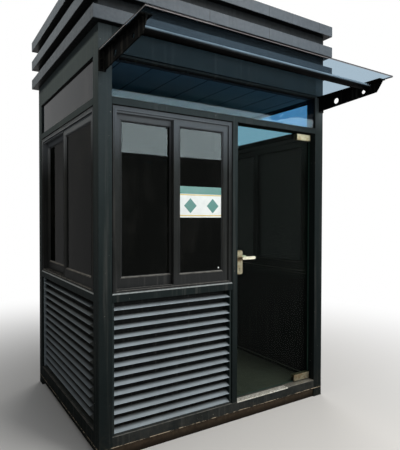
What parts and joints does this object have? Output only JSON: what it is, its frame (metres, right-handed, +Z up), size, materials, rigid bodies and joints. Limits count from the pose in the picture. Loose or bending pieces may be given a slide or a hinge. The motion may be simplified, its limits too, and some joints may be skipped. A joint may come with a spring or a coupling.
{
  "type": "security guard booth",
  "caption": "Small steel-framed guard booth with sliding windows over louvre panels, fanlights, a banded flat roof, a glass canopy and a pivoting glass door.",
  "frame": {"origin": "on the ground at the centre of the four posts, the canopy not counted", "axes": "+Z up, -Y towards the front with the door and the canopy, +X to the right seen from the front"},
  "size_m": [2.1, 2.161, 3.1],
  "materials": {
    "frame_paint": "satin",
    "plinth_paint": "matte",
    "louvre_paint": "satin",
    "window_metal": "satin",
    "roof_paint": "satin",
    "lining_paint": "satin",
    "floor_board": "matte",
    "tinted_glass": "gloss",
    "door_glass": "gloss",
    "canopy_glass": "gloss",
    "bright_steel": "brushed"
  },
  "bodies": {
    "booth": {"base_frame": "plinth_paint", "base_rails": "frame_paint", "canopy_bracket_left": "frame_paint", "canopy_bracket_right": "frame_paint", "canopy_glass": "canopy_glass", "canopy_tube": "frame_paint", "ceiling": "lining_paint", "door_pivot_pins": "bright_steel", "fanlight_glass": "tinted_glass", "floor": "floor_board", "header_rails": "frame_paint", "lining_panels": "lining_paint", "louvre_back": "louvre_paint", "louvre_front": "louvre_paint", "louvre_left": "louvre_paint", "louvre_right": "louvre_paint", "mullion": "frame_paint", "post_back_left": "frame_paint", "post_back_right": "frame_paint", "post_front_left": "frame_paint", "post_front_right": "frame_paint", "roof_band_lower": "roof_paint", "roof_band_middle": "roof_paint", "roof_band_upper": "roof_paint", "roof_core": "roof_paint", "roof_deck": "roof_paint", "sill_rails": "frame_paint", "threshold": "bright_steel", "top_rails": "frame_paint", "window_frame_back": "window_metal", "window_frame_front": "window_metal", "window_frame_left": "window_metal", "window_frame_right": "window_metal", "window_glass_back": "tinted_glass", "window_glass_front": "tinted_glass", "window_glass_left": "tinted_glass", "window_glass_right": "tinted_glass", "window_sashes_back": "window_metal", "window_sashes_front": "window_metal", "window_sashes_left": "window_metal", "window_sashes_right": "window_metal"},
    "door": {"door_glass": "door_glass", "door_patch_fittings": "bright_steel", "door_handle_plates": "bright_steel"},
    "lever": {"door_lever": "bright_steel"}
  },
  "joints": [
    {"name": "door_swing", "type": "hinge", "parent": "booth", "child": "door", "pos_m": [0.84, -0.69, 0.15], "axis": [0, 0, 1], "range_deg": [0, 90]},
    {"name": "lever_turn", "type": "hinge", "parent": "door", "child": "lever", "pos_m": [0.143, -0.69, 1.204], "axis": [0, 1, 0], "range_deg": [0, 45], "stiffness_Nm_per_rad": 1.5}
  ]
}
